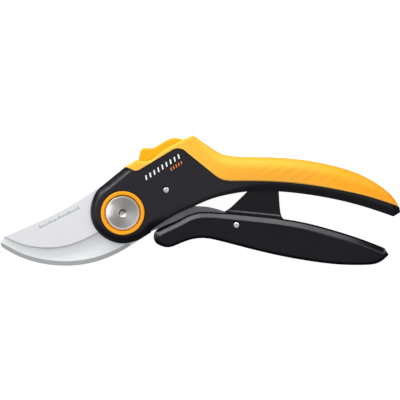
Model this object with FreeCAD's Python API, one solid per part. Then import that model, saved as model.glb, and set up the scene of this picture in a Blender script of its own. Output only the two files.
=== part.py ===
"""Bypass pruner, closed, lying on its rear side. Millimetres, +Z up.

The origin is on the pivot axis, in the plane that the tool lies on. X runs from the jaws to the handle
ends, Y from the lower handle to the upper one, and Z along the pivot. The cutting blade and the lower
handle turn together about the pivot; the hook blade is fixed in the upper handle.
"""

import FreeCAD
import Part
import math
import os

# --- driving dimensions ------------------------------------------------------------------------------
HALF_WIDTH = 11.0          # half the width of both grips across the hand
MID = HALF_WIDTH           # height of the plane where the two blades slide on each other
PLATE = 3.2                # thickness of the steel blades
SLIDE_GAP = 0.05           # between faces that slide on each other
CHEEK = 8.8                # half the thickness of the head
WASHER = 0.3

BUSH_R = 5.0               # bushing that the cutting blade turns on
SHANK_R = 3.5              # pivot bolt
BOLT_HEAD_R = 6.4
CAP_R = 9.6                # steel cap over the spring
RING_OUT_R = 12.3          # orange ring around the cap
RING_IN_R = 10.2
RUN_GAP = 0.05             # radial clearance of the blade on its bushing

SPRING_WIRE = 1.1
SPRING_R = 7.3
SPRING_TURNS = 1.75

RIVET_R = 1.7
RIVET_SINK_R = 2.4
RIVET_SINK = 0.5
HOOK_RIVET = (24.5, 12.8)
TANG_RIVET = (63.9, -6.8)

LOCK_ANGLE = 30.5          # direction of the lock's travel, from X
LOCK_TRAVEL = 5.0
LOCK_GAP = 0.8             # between the engaged pawl and the heel of the blade
BUTTON_HALF = 5.2          # half the width of the lock button
BUTTON_GAP = 0.3

WEB_HALF = 3.0             # half the thickness of the stop web
WEB_FOOT_HALF = 4.8        # the same at its foot, where it enters the lower handle
CHANNEL_HALF = 4.2         # half the width of the channel that the web closes into
RIB = 2.0
CHAMFER = (3.6, 2.4)       # upper edges of the lower handle: across the side, and across the top

BLADE_Z = (MID + SLIDE_GAP, MID + PLATE)
HOOK_Z = (MID - PLATE, MID)
WASHER_Z = (BLADE_Z[1] + SLIDE_GAP, BLADE_Z[1] + SLIDE_GAP + WASHER)
SLOT_Z = (HOOK_Z[0], WASHER_Z[1])
FRONT_Z = MID + CHEEK
REAR_Z = MID - CHEEK
CAP_Z = FRONT_Z - 1.9      # underside of the cap
RING_Z = FRONT_Z - 1.3     # underside of the ring
NUT_SEAT_Z = REAR_Z + 2.0
FAR = 200.0                # larger than the tool


# --- small tools -------------------------------------------------------------------------------------
def vec(x, y, z=0.0):
    return FreeCAD.Vector(x, y, z)


def line(a, b):
    return Part.LineSegment(vec(*a), vec(*b)).toShape()


def arc(a, middle, b):
    return Part.Arc(vec(*a), vec(*middle), vec(*b)).toShape()


def curve(*points):
    spline = Part.BSplineCurve()
    spline.interpolate([vec(*p) for p in points])
    return spline.toShape()


def prism(edges, z0, z1):
    """A closed outline in XY, from height z0 to z1."""
    face = Part.Face(Part.Wire(edges))
    face.translate(vec(0, 0, z0))
    return face.extrude(vec(0, 0, z1 - z0))


def polygon(points, z0, z1):
    ends = points[1:] + points[:1]
    return prism([line(a, b) for a, b in zip(points, ends)], z0, z1)


def wedge(points, reach, z_rim, z_face):
    """What a bevel takes off below a curve: nothing at height z_rim, and reach (along Y) at height z_face."""
    rims = []
    for share in (-0.2, 1.5):
        top = [(x, y + share * reach) for x, y in points]
        low_a, low_b = (points[-1][0], -60.0), (points[0][0], -60.0)
        rim = Part.Wire([curve(*top), line(top[-1], low_a), line(low_a, low_b), line(low_b, top[0])])
        rim.translate(vec(0, 0, z_rim + share * (z_face - z_rim)))
        rims.append(rim)
    return Part.makeLoft(rims, True, True)


def bulge(start, peak, end):
    """A prism along Y whose half width about the middle plane swells from start to peak and back to end.

    Each of the three is (X, half width), and the sides are arcs that meet smoothly at the peak.
    """
    middles = []
    for x, w in (start, end):
        run, drop = peak[0] - x, peak[1] - w
        radius = (run * run + drop * drop) / (2 * drop)
        middles.append((peak[0] - run / 2, peak[1] - radius + math.sqrt(radius * radius - run * run / 4)))
    edges = []
    for side in (1, -1):
        points = [vec(x, -FAR, MID + side * w) for x, w in (start, middles[0], peak, middles[1], end)]
        edges += [Part.Arc(*points[:3]).toShape(), Part.Arc(*points[2:]).toShape()]
    corners = [[vec(x, -FAR, MID + side * w) for side in (1, -1)] for x, w in (start, end)]
    edges += [Part.LineSegment(*pair).toShape() for pair in corners]
    return Part.Face(Part.Wire(Part.__sortEdges__(edges))).extrude(vec(0, 2 * FAR, 0))


def rod(centre, radius, z0, z1):
    return Part.makeCylinder(radius, z1 - z0, vec(*centre, z0))


def tube(centre, r_out, r_in, z0, z1):
    return rod(centre, r_out, z0, z1).cut(rod(centre, r_in, z0 - 1, z1 + 1))


def along_lock(t, n):
    """XY of a point t along the lock's travel and n square to it, from the pivot."""
    c, s = math.cos(math.radians(LOCK_ANGLE)), math.sin(math.radians(LOCK_ANGLE))
    return (t * c - n * s, t * s + n * c)


def near(shape, points, z=None, reach=0.05):
    """The edges of shape that pass within reach of one of the points, all at height z if it is given."""
    found = []
    for edge in shape.Edges:
        box = edge.BoundBox
        if z is not None and (abs(box.ZMin - z) > 1e-4 or abs(box.ZMax - z) > 1e-4):
            continue
        spots = [Part.Vertex(vec(x, y, box.ZMin if z is None else z)) for x, y in points]
        if any(edge.distToShape(spot)[0] < reach for spot in spots):
            found.append(edge)
    return found


def save(name, shape):
    shape = shape.removeSplitter()
    solids = [s for s in shape.Solids if s.Volume > 0.5]
    assert solids and all(s.isValid() for s in solids), name
    whole = solids[0] if len(solids) == 1 else Part.makeCompound(solids)
    whole.exportStep(f"parts/{name}.step")
    print(f"{name:16s} {len(solids)} solid(s) {sum(s.Volume for s in solids):9.1f} mm3")


# --- outlines shared by several pieces ---------------------------------------------------------------
END_LOW = (152.6, -1.9)    # corners of the upper handle's end
END_MID = (156.4, 0.4)
END_TOP = (155.9, 3.2)
SEAM_FRONT = (1.2, 26.0)   # where the orange grip starts on the head
SEAM_BEND = (51.5, 21.3)   # where it leaves the handle and climbs towards the head
SEAM_CORNER = (35.8, 33.9)
KNEE = (39.2, 43.8)        # peak of the upper handle behind the lock button


def seam():
    """The line on the side of the upper handle where black meets orange, from the handle's end forward."""
    return [
        curve(END_TOP, (142.2, 7.8), (124.1, 12.4), (106.0, 15.6), (87.9, 17.45), (72.0, 17.95),
              (60.5, 17.9)),
        curve((60.5, 17.9), (55.8, 18.8), SEAM_BEND),
        line(SEAM_BEND, SEAM_CORNER),
        arc(SEAM_CORNER, (32.5, 35.9), (28.5, 35.5)),
        line((28.5, 35.5), (9.6, 24.1)),
        arc((9.6, 24.1), (7.4, 23.5), (5.3, 24.1)),
        line((5.3, 24.1), SEAM_FRONT),
    ]


BLADE_EDGE = [(-67.6, -13.6), (-58.0, -17.9), (-46.7, -20.1), (-35.4, -19.7), (-26.0, -17.2), (-18.7, -13.9),
              (-13.0, -10.6)]
HOOK_EDGE = [(-67.7, -20.0), (-58.0, -25.1), (-46.7, -28.5), (-35.4, -29.8), (-24.1, -29.3), (-12.8, -26.7),
             (-1.8, -21.9), (4.0, -18.5)]


def blade_outline():
    heel_front, heel_top, heel_foot = along_lock(2.4, 12.2), along_lock(8.7, 12.2), along_lock(8.7, 9.2)
    end_top, end_foot = (61.5, -0.9), (61.5, -11.9)
    tip, choil, neck, hub = BLADE_EDGE[0], BLADE_EDGE[-1], (-12.6, 15.1), (15.5, -10.6)
    return [
        curve(tip, (-53.5, -7.5), (-39.9, -1.3), (-26.4, 6.1), (-16.2, 12.7), neck),
        curve(neck, (-9.5, 14.2), (-7.0, 11.9), heel_front),
        line(heel_front, heel_top),
        line(heel_top, heel_foot),
        curve(heel_foot, (12.0, 10.6), (24.0, 8.2), (33.0, 5.8), (40.2, 4.0), (45.7, 3.7), (51.0, 2.8),
              end_top),
        arc(end_top, (TANG_RIVET[0] + 6.0, TANG_RIVET[1]), end_foot),
        curve(end_foot, (50.0, -10.2), (41.0, -7.8), (32.0, -6.8), (21.8, -8.2), hub),
        curve(hub, (9.0, -13.0), (1.0, -13.4), (-6.5, -11.6), choil),
        curve(*reversed(BLADE_EDGE)),
    ]


def lower_handle_outline():
    nose_top, top_bend, tail, tip = (19.4, -9.1), (43.5, 0.6), (147.2, -19.6), (149.8, -23.6)
    return [
        arc(nose_top, (17.3, -13.6), (19.9, -17.8)),
        curve((19.9, -17.8), (24.6, -19.3), (31.0, -17.6), (38.0, -15.0), (45.0, -14.1), (55.1, -15.8),
              (72.1, -20.2), (89.0, -24.1), (106.0, -27.1), (123.0, -29.0), (136.0, -29.2), (144.5, -27.8),
              tip),
        line(tip, tail),
        curve(tail, (134.3, -14.65), (117.3, -9.25), (100.4, -5.0), (88.0, -3.1), (73.4, -1.6), (57.2, 0.0),
              (49.5, 0.6), top_bend),
        curve(top_bend, (37.5, -0.9), (31.2, -3.9), (24.4, -6.75), nose_top),
    ]


# --- the cutting blade and the hook ------------------------------------------------------------------
def cutting_blade():
    plate = prism(blade_outline(), *BLADE_Z)
    rim = [(-72.0, -11.4)] + BLADE_EDGE + [(-10.0, -8.0)]
    plate = plate.cut(wedge(rim, 0.9, BLADE_Z[0] + 0.5, BLADE_Z[1]))
    plate = plate.cut(rod((0, 0), BUSH_R + RUN_GAP, 0, FAR))
    plate = plate.cut(rod(TANG_RIVET, RIVET_R, 0, FAR))
    leg_hole = rod(spring_leg_place(), SPRING_WIRE / 2 + 0.25, BLADE_Z[1] - 2.0, FAR)
    return plate.cut(leg_hole)


def hook_blade():
    nose, nose_foot, bevel_end = (-67.4, -14.1), HOOK_EDGE[0], HOOK_EDGE[-1]
    low, tail_foot, tail_top, throat = (9.0, -15.3), (29.6, 10.6), (20.6, 18.4), (-13.6, -4.0)
    plate = prism([
        arc(nose, (-69.4, -16.9), nose_foot),
        curve(*HOOK_EDGE),
        line(bevel_end, low),
        curve(low, (15.0, -9.0), (23.0, 3.0), tail_foot),
        arc(tail_foot, (28.6, 18.0), tail_top),
        curve(tail_top, (10.0, 13.4), (0.0, 13.8), (-9.6, 10.0), (-14.0, 2.0), throat),
        curve(throat, (-18.7, -10.4), (-27.0, -14.2), (-38.0, -16.4), (-48.0, -16.6), (-58.0, -15.5), nose),
    ], *HOOK_Z)
    rim = [(-76.0, -15.8)] + HOOK_EDGE
    plate = plate.cut(wedge(rim, 2.6, HOOK_Z[1] - 1.5, HOOK_Z[1]))
    plate = plate.cut(wedge(rim, 1.0, HOOK_Z[0] + 0.9, HOOK_Z[0]))
    plate = plate.cut(rod((0, 0), BUSH_R, 0, FAR))
    return plate.cut(rod(HOOK_RIVET, RIVET_R, 0, FAR))


# --- the upper handle --------------------------------------------------------------------------------
HEAD_FRONT = [(-11.6, 15.5), (-14.6, 12.5), (-16.9, 8.1), (-18.1, 3.4), (-17.8, -3.5), (-14.4, -10.2),
              (-7.6, -15.4), (1.1, -17.1), (9.4, -15.0)]


def black_region():
    """The side view of the frame where it shows, from the seam down."""
    corner_top, corner_foot = (15.5, -9.8), (15.7, -11.0)
    return seam() + [
        line(SEAM_FRONT, HEAD_FRONT[0]),
        curve(*HEAD_FRONT),
        line(HEAD_FRONT[-1], corner_foot),
        line(corner_foot, corner_top),
        curve(corner_top, (24.0, -4.2), (31.2, -0.1), (40.2, 3.9), (49.4, 7.8), (60.8, 10.7), (72.0, 12.3),
              (84.0, 12.4), (100.4, 11.0), (117.3, 8.3), (134.3, 4.2), (145.6, 0.6), END_LOW),
        line(END_LOW, END_MID),
        line(END_MID, END_TOP),
    ]


def core_region():
    """The side view of the frame's tongue under the orange grip: its top is 2.4 mm below the grip's."""
    toe, crest, root, tail = (30.0, 33.0), (37.2, 38.8), (60.0, 15.0), (139.0, 14.4)
    return [
        line(toe, crest),
        curve(crest, (40.8, 39.6), (46.8, 35.4), (53.5, 31.2), (60.5, 29.7), (72.0, 29.2), (89.0, 28.7),
              (105.0, 26.9), (120.0, 23.6), (131.0, 19.2), tail),
        line(tail, (138.0, 5.0)),
        curve((138.0, 5.0), (120.0, 11.0), (90.0, 15.0), root),
        line(root, toe),
    ]


def channel():
    """The open underside of the handle, which the stop web closes into, less its cross ribs."""
    room = prism([
        curve((61.0, 2.0), (62.5, 14.0), (68.0, 23.2), (90.0, 23.6), (108.0, 21.0), (122.0, 17.4),
              (136.0, 12.0), (147.0, 5.4)),
        line((147.0, 5.4), (147.0, -20.0)),
        line((147.0, -20.0), (61.0, -20.0)),
        line((61.0, -20.0), (61.0, 2.0)),
    ], MID - CHANNEL_HALF, MID + CHANNEL_HALF)
    for x, foot in ((100.0, 14.0), (115.0, 11.6), (130.0, 8.2)):
        room = room.cut(Part.makeBox(RIB, FAR, 2 * CHANNEL_HALF, vec(x, foot, MID - CHANNEL_HALF)))
    return room


def blade_slot():
    """The gap between the cheeks of the head: the swing of the cutting blade, and the hook beside it."""
    return polygon([
        (-40, -60), (-40, 40), (-2.6, 40), (-2.6, 19.2), along_lock(9.4, 15.8), along_lock(9.4, 13.1),
        along_lock(37.5, 13.1), (34.0, 16.0), (44.0, 7.6), (49.0, 2.0), (60, -60),
    ], *SLOT_Z)


def frame_blank():
    body = prism(black_region(), REAR_Z, FRONT_Z)
    rim = [(-5.2, 20.75), HEAD_FRONT[3], (12.55, -13.0), (15.6, -10.4), (84.0, 12.4)]
    body = body.makeFillet(1.8, near(body, rim, z=FRONT_Z) + near(body, rim, z=REAR_Z))
    return body.fuse(prism(core_region(), MID - 7.0, MID + 7.0))


def handle_frame():
    body = frame_blank().common(bulge(*UPPER_BULGE)).cut(blade_slot()).cut(channel())
    body = body.cut(rod((0, 0), CAP_R + 0.2, SLOT_Z[1] - 1, FAR))
    body = body.cut(rod((0, 0), RING_OUT_R, RING_Z, FAR))
    body = body.cut(rod((0, 0), BUSH_R, 0, MID))
    body = body.cut(rod((0, 0), 8.2, 0, NUT_SEAT_Z))
    body = body.cut(rivet_hole(HOOK_RIVET, REAR_Z, FRONT_Z))
    room = SPRING_WIRE + 0.4
    body = body.cut(Part.makeBox(9.0, room, room, vec(6.0, SPRING_R - room / 2, SPRING_TOP_Z - room + 0.2)))
    return body.cut(lock_stem_room()).cut(stop_pad())


def lock_stem_room():
    """The slot that the lock's stem moves in."""
    corners = [along_lock(t, n) for t, n in ((24.5, 12.0), (35.8, 12.0), (35.8, 20.0), (24.5, 20.0))]
    return polygon(corners, MID, MID + PLATE + 0.2)


UPPER_BULGE = ((-90, 8.81), (86, 11.0), (158, 6.0))


def soft_grip():
    side_top = [along_lock(t, n) for t, n in ((25.0, 19.0), (38.0, 18.9), (46.0, 18.6))]
    ramp, valley, crest = (8.0, 30.1), (35.0, 42.0), (41.3, 42.5)
    head = prism(seam()[2:] + [
        line(SEAM_FRONT, ramp),
        curve(ramp, *side_top, valley),
        curve(valley, (37.2, 42.7), KNEE),
        line(KNEE, crest),
        line(crest, SEAM_BEND),
    ], REAR_Z, FRONT_Z)
    back = curve(crest, (49.4, 36.9), (55.5, 33.4), (61.0, 32.1), (70.0, 31.6), (89.0, 31.1), (105.0, 29.4),
                 (120.0, 26.3), (134.3, 21.5), (145.6, 14.9), (152.5, 8.6), END_TOP)
    handle = prism(seam()[:3] + [line(SEAM_CORNER, KNEE), line(KNEE, crest), back], -1, 2 * HALF_WIDTH + 1)
    handle = handle.common(bulge(*UPPER_BULGE))
    ridges = []
    for edge in handle.Edges:
        box = edge.BoundBox
        if box.XLength > 30 and box.YMax > 30 and box.YMin > 2:
            ridges.append(edge)
    handle = handle.makeFillet(5.0, ridges)
    groove = [along_lock(t, n) for t, n in ((16.2, 17.4), (50.4, 17.4), (50.4, 40.0), (16.2, 40.0))]
    half = BUTTON_HALF + BUTTON_GAP
    grip = handle.fuse(head).cut(polygon(groove, MID - half, MID + half))
    track = [along_lock(t, n) for t, n in ((BALL_AT - LOCK_TRAVEL - 1.4, 16.1), (BALL_AT + 1.4, 16.1),
                                           (BALL_AT + 1.4, 20.0), (BALL_AT - LOCK_TRAVEL - 1.4, 20.0))]
    grip = grip.cut(polygon(track, MID - 1.4, MID + 1.4))
    return grip.cut(lock_stem_room()).cut(frame_blank())


# --- pivot, spring and rivets ------------------------------------------------------------------------
SPRING_TOP_Z = CAP_Z - 0.3


def spring_leg_place():
    """Where the spring's moving leg enters the blade."""
    angle = math.radians(360 * (SPRING_TURNS % 1) + 90)
    return (SPRING_R * math.cos(-angle), SPRING_R * math.sin(-angle))


def opening_spring():
    r = SPRING_WIRE / 2
    pitch = SPRING_WIRE * 1.04
    height = pitch * SPRING_TURNS
    start = vec(0, SPRING_R, SPRING_TOP_Z - r)
    helix = Part.makeHelix(pitch, height, SPRING_R)
    helix.rotate(vec(0, 0, 0), vec(1, 0, 0), 180)
    helix.rotate(vec(0, 0, 0), vec(0, 0, 1), 90)
    helix.translate(vec(0, 0, start.z))
    section = Part.Wire(Part.makeCircle(r, start, vec(1, 0, 0)))
    coil = Part.Wire(helix.Edges).makePipeShell([section], True, True)
    fixed_leg = Part.makeCylinder(r, 12.5, start, vec(1, 0, 0))
    x, y = spring_leg_place()
    low = start.z - height
    moving_leg = rod((x, y), r, BLADE_Z[1] - 1.8, low + r)
    return coil.fuse(fixed_leg).fuse(moving_leg)


def pivot_bolt():
    head = rod((0, 0), BOLT_HEAD_R, WASHER_Z[1], CAP_Z)
    shank = rod((0, 0), SHANK_R, 0.9, CAP_Z)
    return head.fuse(shank)


def pivot_cap():
    """The shallow steel cone over the bolt, with a dimple at its centre."""
    top = FRONT_Z + 0.5
    profile = [(0, CAP_Z), (CAP_R, CAP_Z), (CAP_R, top - 0.5), (CAP_R - 0.5, top), (2.6, top + 0.7),
               (2.0, top + 0.3), (0, top - 0.1)]
    return revolve(profile)


def pivot_ring():
    top = FRONT_Z + 0.9
    profile = [(RING_IN_R, RING_Z), (RING_OUT_R, RING_Z), (RING_OUT_R, top - 0.6), (RING_OUT_R - 0.6, top),
               (RING_IN_R + 0.4, top), (RING_IN_R, top - 0.4)]
    return revolve(profile)


def revolve(profile):
    points = [vec(r, 0, z) for r, z in profile]
    face = Part.Face(Part.makePolygon(points + points[:1]))
    return face.revolve(vec(0, 0, 0), vec(0, 0, 1), 360)


def pivot_nut():
    """A closed hexagon nut; its flat end is part of what the tool lies on."""
    across = 13.0
    corner = across / math.sqrt(3)
    turns = [math.radians(60 * i) for i in range(6)]
    hexagon = [(corner * math.cos(a), corner * math.sin(a)) for a in turns]
    block = polygon(hexagon, 0, NUT_SEAT_Z - 0.6)
    cone = Part.makeCone(corner - 0.9, corner + 1.3, 2.2)
    block = block.common(cone.fuse(rod((0, 0), corner + 1.3, 2.2, FAR)))
    return block.cut(rod((0, 0), SHANK_R, 0.9, FAR))


def spring_washer():
    """A conical washer between the nut and the frame."""
    z0 = NUT_SEAT_Z - 0.6
    profile = [(BUSH_R, z0), (7.4, z0), (7.9, z0 + 0.6), (BUSH_R, z0 + 0.6)]
    return revolve(profile)


def rivet_hole(centre, z0, z1):
    hole = rod(centre, RIVET_R, 0, FAR)
    hole = hole.fuse(rod(centre, RIVET_SINK_R, z1 - RIVET_SINK, FAR))
    return hole.fuse(rod(centre, RIVET_SINK_R, -1, z0 + RIVET_SINK))


def rivet(centre, z0, z1):
    """A plain rivet from z0 to z1, domed at both ends."""
    dome = 0.45
    ball = (RIVET_R ** 2 + dome ** 2) / (2 * dome)
    shank = rod(centre, RIVET_R, z0 + dome, z1 - dome)
    top = Part.makeSphere(ball, vec(*centre, z1 - ball)).common(rod(centre, RIVET_R, z1 - dome, FAR))
    foot = Part.makeSphere(ball, vec(*centre, z0 + ball)).common(rod(centre, RIVET_R, -FAR, z0 + dome))
    return shank.fuse(top).fuse(foot)


# --- the lock ----------------------------------------------------------------------------------------
PIN_PLACE = (32.6, 18.9)   # along and across the lock's travel
BALL_AT = 41.5
BALL_R = 1.2


def lock_button():
    base, toe, heel = 17.5, 22.3, 49.6
    front = [(toe, 21.0), (23.7, 22.4), (25.4, 24.4), (27.0, 25.6), (28.7, 25.7)]
    back = [(28.7, 25.7), (30.7, 24.3), (33.0, 23.1), (37.0, 22.9), (42.5, 22.8), (46.2, 21.9), (heel, 19.2)]
    body = prism([
        line(along_lock(heel, base), along_lock(toe, base)),
        line(along_lock(toe, base), along_lock(toe, 21.0)),
        curve(*[along_lock(t, n) for t, n in front]),
        curve(*[along_lock(t, n) for t, n in back]),
        line(along_lock(heel, 19.2), along_lock(heel, base)),
    ], MID - BUTTON_HALF, MID + BUTTON_HALF)
    bore = Part.makeCylinder(BALL_R + 0.05, 3.6, vec(*along_lock(BALL_AT, base), MID), lock_normal())
    return body.cut(bore).cut(lock_pawl()).cut(lock_pin())


def lock_normal():
    return vec(*along_lock(0, 1))


def detent_ball():
    """It rides in a track in the floor of the groove, pressed down by a small spring."""
    return Part.makeSphere(BALL_R, vec(*along_lock(BALL_AT, 17.4), MID))


def detent_spring():
    wire, coil_r, turns = 0.2, BALL_R - 0.25, 4
    foot = 17.4 + BALL_R + wire + 0.05
    room = 21.1 - foot - 2 * wire
    helix = Part.makeHelix(room / turns, room, coil_r)
    start = Part.Wire(Part.makeCircle(wire, vec(coil_r, 0, 0), vec(0, 1, 0)))
    coil = Part.Wire(helix.Edges).makePipeShell([start], True, True)
    coil.rotate(vec(0, 0, 0), vec(1, 0, 0), -90)
    coil.rotate(vec(0, 0, 0), vec(0, 0, 1), LOCK_ANGLE)
    coil.translate(vec(*along_lock(BALL_AT, foot), MID))
    return coil


def lock_pawl():
    """A flat steel pawl in the blade's plane, with a stem up into the button."""
    z = (MID + 0.2, MID + PLATE - 0.2)
    nose = 8.7 + LOCK_GAP + LOCK_TRAVEL
    bar = [(nose, 9.8), (36.0, 9.8), (36.0, 12.8), (nose, 12.8)]
    stem = [(30.0, 12.0), (35.2, 12.0), (35.2, 20.4), (30.0, 20.4)]
    bar, stem = (polygon([along_lock(t, n) for t, n in part], *z) for part in (bar, stem))
    return bar.fuse(stem).cut(lock_pin())


def lock_pin():
    return rod(along_lock(*PIN_PLACE), 0.9, MID - 4.4, MID + 4.4)


# --- the lower handle --------------------------------------------------------------------------------
LOWER_BULGE = ((16.0, 7.4), (92.0, 11.0), (151.0, 5.6))


def lower_handle():
    body = prism(lower_handle_outline(), -1, 2 * HALF_WIDTH + 1).common(bulge(*LOWER_BULGE))
    upper = [e for e in body.Edges if e.BoundBox.XLength > 20 and e.BoundBox.YMax > -5]
    body = body.makeChamfer(*CHAMFER, upper)
    lower = [e for e in body.Edges if e.BoundBox.XLength > 20 and e.BoundBox.YMax < -12]
    body = body.makeFillet(2.5, lower)
    body = body.cut(cutting_blade()).cut(stop_web())
    return body.cut(rivet_hole(TANG_RIVET, 0.35, 2 * HALF_WIDTH - 0.35))


def stop_web():
    """The web between the handles: it rises from the lower handle and closes into the upper one's channel."""
    foot_left, foot_right = (57.4, 0.9), (90.8, -3.7)
    web = prism([
        curve(foot_left, (59.6, 2.2), (62.4, 4.6), (70.1, 12.1), (76.6, 18.6)),
        line((76.6, 18.6), (80.0, 22.0)),
        line((80.0, 22.0), (87.2, 22.4)),
        line((87.2, 22.4), (88.3, 4.9)),
        curve((88.3, 4.9), (88.9, 0.2), foot_right),
        line(foot_right, (90.8, -9.0)),
        line((90.8, -9.0), (57.4, -9.0)),
        line((57.4, -9.0), foot_left),
    ], MID - WEB_HALF, MID + WEB_HALF)
    foot = prism([
        curve((60.4, 1.0), (73.4, 0.3), (89.6, -2.2)),
        line((89.6, -2.2), (89.6, -9.0)),
        line((89.6, -9.0), (60.4, -9.0)),
        line((60.4, -9.0), (60.4, 1.0)),
    ], MID - WEB_FOOT_HALF, MID + WEB_FOOT_HALF)
    web = web.fuse(foot).cut(cutting_blade())
    return web.cut(rod(TANG_RIVET, RIVET_R, 0, FAR))


def stop_pad():
    """A rubber pad in the roof of the channel; the web closes onto it."""
    return polygon([(77.5, 22.8), (88.5, 22.9), (88.5, 25.4), (77.5, 25.3)], MID - 3.4, MID + 3.4)


# --- build -------------------------------------------------------------------------------------------
def main():
    os.makedirs("parts", exist_ok=True)
    save("cutting_blade", cutting_blade())
    save("hook_blade", hook_blade())
    save("handle_frame", handle_frame())
    save("soft_grip", soft_grip())
    save("pivot_bolt", pivot_bolt())
    save("pivot_cap", pivot_cap())
    save("pivot_ring", pivot_ring())
    save("pivot_nut", pivot_nut())
    save("pivot_bushing", tube((0, 0), BUSH_R, SHANK_R, NUT_SEAT_Z - 0.6, WASHER_Z[1]))
    save("spring_washer", spring_washer())
    save("blade_washer", tube((0, 0), BOLT_HEAD_R, BUSH_R, *WASHER_Z))
    save("opening_spring", opening_spring())
    save("hook_rivet", rivet(HOOK_RIVET, REAR_Z - 0.1, FRONT_Z + 0.1))
    save("tang_rivet", rivet(TANG_RIVET, 0.2, 2 * HALF_WIDTH - 0.2))
    save("lock_button", lock_button())
    save("lock_pawl", lock_pawl())
    save("lock_pin", lock_pin())
    save("detent_ball", detent_ball())
    save("detent_spring", detent_spring())
    save("lower_handle", lower_handle())
    save("stop_web", stop_web())
    save("stop_pad", stop_pad())


main()
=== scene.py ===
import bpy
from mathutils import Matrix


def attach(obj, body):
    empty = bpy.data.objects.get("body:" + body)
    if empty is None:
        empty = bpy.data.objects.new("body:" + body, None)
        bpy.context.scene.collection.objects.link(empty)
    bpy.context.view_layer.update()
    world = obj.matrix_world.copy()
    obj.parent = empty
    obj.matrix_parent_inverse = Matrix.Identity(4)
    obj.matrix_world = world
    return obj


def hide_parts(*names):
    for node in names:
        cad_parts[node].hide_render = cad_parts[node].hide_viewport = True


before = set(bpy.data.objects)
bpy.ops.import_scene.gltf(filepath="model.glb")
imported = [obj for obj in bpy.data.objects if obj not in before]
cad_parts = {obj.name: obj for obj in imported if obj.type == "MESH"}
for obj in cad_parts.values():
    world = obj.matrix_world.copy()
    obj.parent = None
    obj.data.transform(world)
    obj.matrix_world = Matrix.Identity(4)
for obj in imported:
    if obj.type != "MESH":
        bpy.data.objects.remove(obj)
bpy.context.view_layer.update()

import math

import bmesh
import bpy
import numpy as np
from mathutils import Vector
from mathutils.geometry import delaunay_2d_cdt

# Shapes are worked out in millimetres, in the frame shared with the CAD: X from the jaws to the handle ends,
# Y from the lower handle to the upper one, Z along the pivot. They are scaled to metres when a mesh is made.
MM = 0.001
MID = 11.0                 # the plane where the two blades slide on each other
CHEEK = 8.8                # half the thickness of the head
FRONT = MID + CHEEK        # the head's front face
REAR = MID - CHEEK
STEEL = 3.2                # thickness of each blade
PIVOT = (0.0, 0.0)
LOCK_ANGLE = math.radians(30.5)
BELOW, ABOVE = -5.0, 40.0  # heights well past the object, where cutters end
TRIANGLE = 0.866           # height of an equilateral triangle of side 1
# where the painted highlight along the grip's seam lip starts to fade, and the width it fades over
LIP_START, LIP_WIDTH = 1.15, 1.1


# --- curves in the plane -----------------------------------------------------------------------------
def along_lock(t, n):
    """XY of a point t along the lock's travel and n square to it, from the pivot."""
    c, s = math.cos(LOCK_ANGLE), math.sin(LOCK_ANGLE)
    return (t * c - n * s, t * s + n * c)


def spline(*points, step=0.7):
    """Points every step mm or so along a natural cubic spline through the given ones."""
    p = np.array(points, float)
    chord = np.linalg.norm(np.diff(p, axis=0), axis=1)
    n = len(p)
    a, b = np.eye(n), np.zeros_like(p)
    for i in range(1, n - 1):
        h0, h1 = chord[i - 1], chord[i]
        a[i, i - 1:i + 2] = (h0, 2 * (h0 + h1), h1)
        b[i] = 6 * ((p[i + 1] - p[i]) / h1 - (p[i] - p[i - 1]) / h0)
    m = np.linalg.solve(a, b)
    out = []
    for i in range(n - 1):
        h = chord[i]
        parts = max(1, round(h / step))
        for v in np.arange(parts) / parts * h:
            w = h - v
            out.append(m[i] * w**3 / (6 * h) + m[i + 1] * v**3 / (6 * h)
                       + (p[i] / h - m[i] * h / 6) * w + (p[i + 1] / h - m[i + 1] * h / 6) * v)
    return np.array(out + [p[-1]])


def straight(a, b, step=0.7):
    return spline(a, b, step=step)


def arc(a, middle, b, step=0.5):
    """Points along the circle through three points."""
    (ax, ay), (bx, by), (cx, cy) = a, middle, b
    d = 2 * (ax * (by - cy) + bx * (cy - ay) + cx * (ay - by))
    qa, qb, qc = ax * ax + ay * ay, bx * bx + by * by, cx * cx + cy * cy
    ux = (qa * (by - cy) + qb * (cy - ay) + qc * (ay - by)) / d
    uy = (qa * (cx - bx) + qb * (ax - cx) + qc * (bx - ax)) / d
    angles = np.unwrap([math.atan2(y - uy, x - ux) for x, y in (a, middle, b)])
    r = math.hypot(ax - ux, ay - uy)
    t = np.linspace(angles[0], angles[2], max(4, round(abs(angles[2] - angles[0]) * r / step)))
    return np.stack([ux + r * np.cos(t), uy + r * np.sin(t)], 1)


def join(*runs):
    """One polyline from several that follow each other."""
    out = [runs[0][0]]
    for run in runs:
        out += [q for q in run if math.hypot(*(q - out[-1])) > 0.05]
    return np.array(out)


def closed(*runs):
    loop = join(*runs)
    return loop[:-1] if math.hypot(*(loop[0] - loop[-1])) < 0.05 else loop


def distance(points, line, loop=False):
    """Distance from each point to a polyline."""
    a = line
    b = np.roll(line, -1, axis=0) if loop else line[1:]
    a = a if loop else a[:-1]
    best = np.full(len(points), 1e9)
    for s in range(0, len(a), 64):
        p0, d = a[s:s + 64], (b - a)[s:s + 64]
        rel = points[:, None] - p0[None]
        t = np.clip((rel * d).sum(2) / np.maximum((d * d).sum(1), 1e-12), 0, 1)
        best = np.minimum(best, np.linalg.norm(rel - t[..., None] * d, axis=2).min(1))
    return best


def inside(points, loop):
    """True for each point inside a closed polyline."""
    hit = np.zeros(len(points), bool)
    for (x0, y0), (x1, y1) in zip(loop, np.roll(loop, -1, axis=0)):
        if y0 != y1:
            crosses = (points[:, 1] < y0) != (points[:, 1] < y1)
            hit ^= crosses & (points[:, 0] < (x1 - x0) * (points[:, 1] - y0) / (y1 - y0) + x0)
    return hit


def smoothstep(a, b, x):
    t = np.clip((x - a) / (b - a), 0, 1)
    return t * t * (3 - 2 * t)


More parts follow.
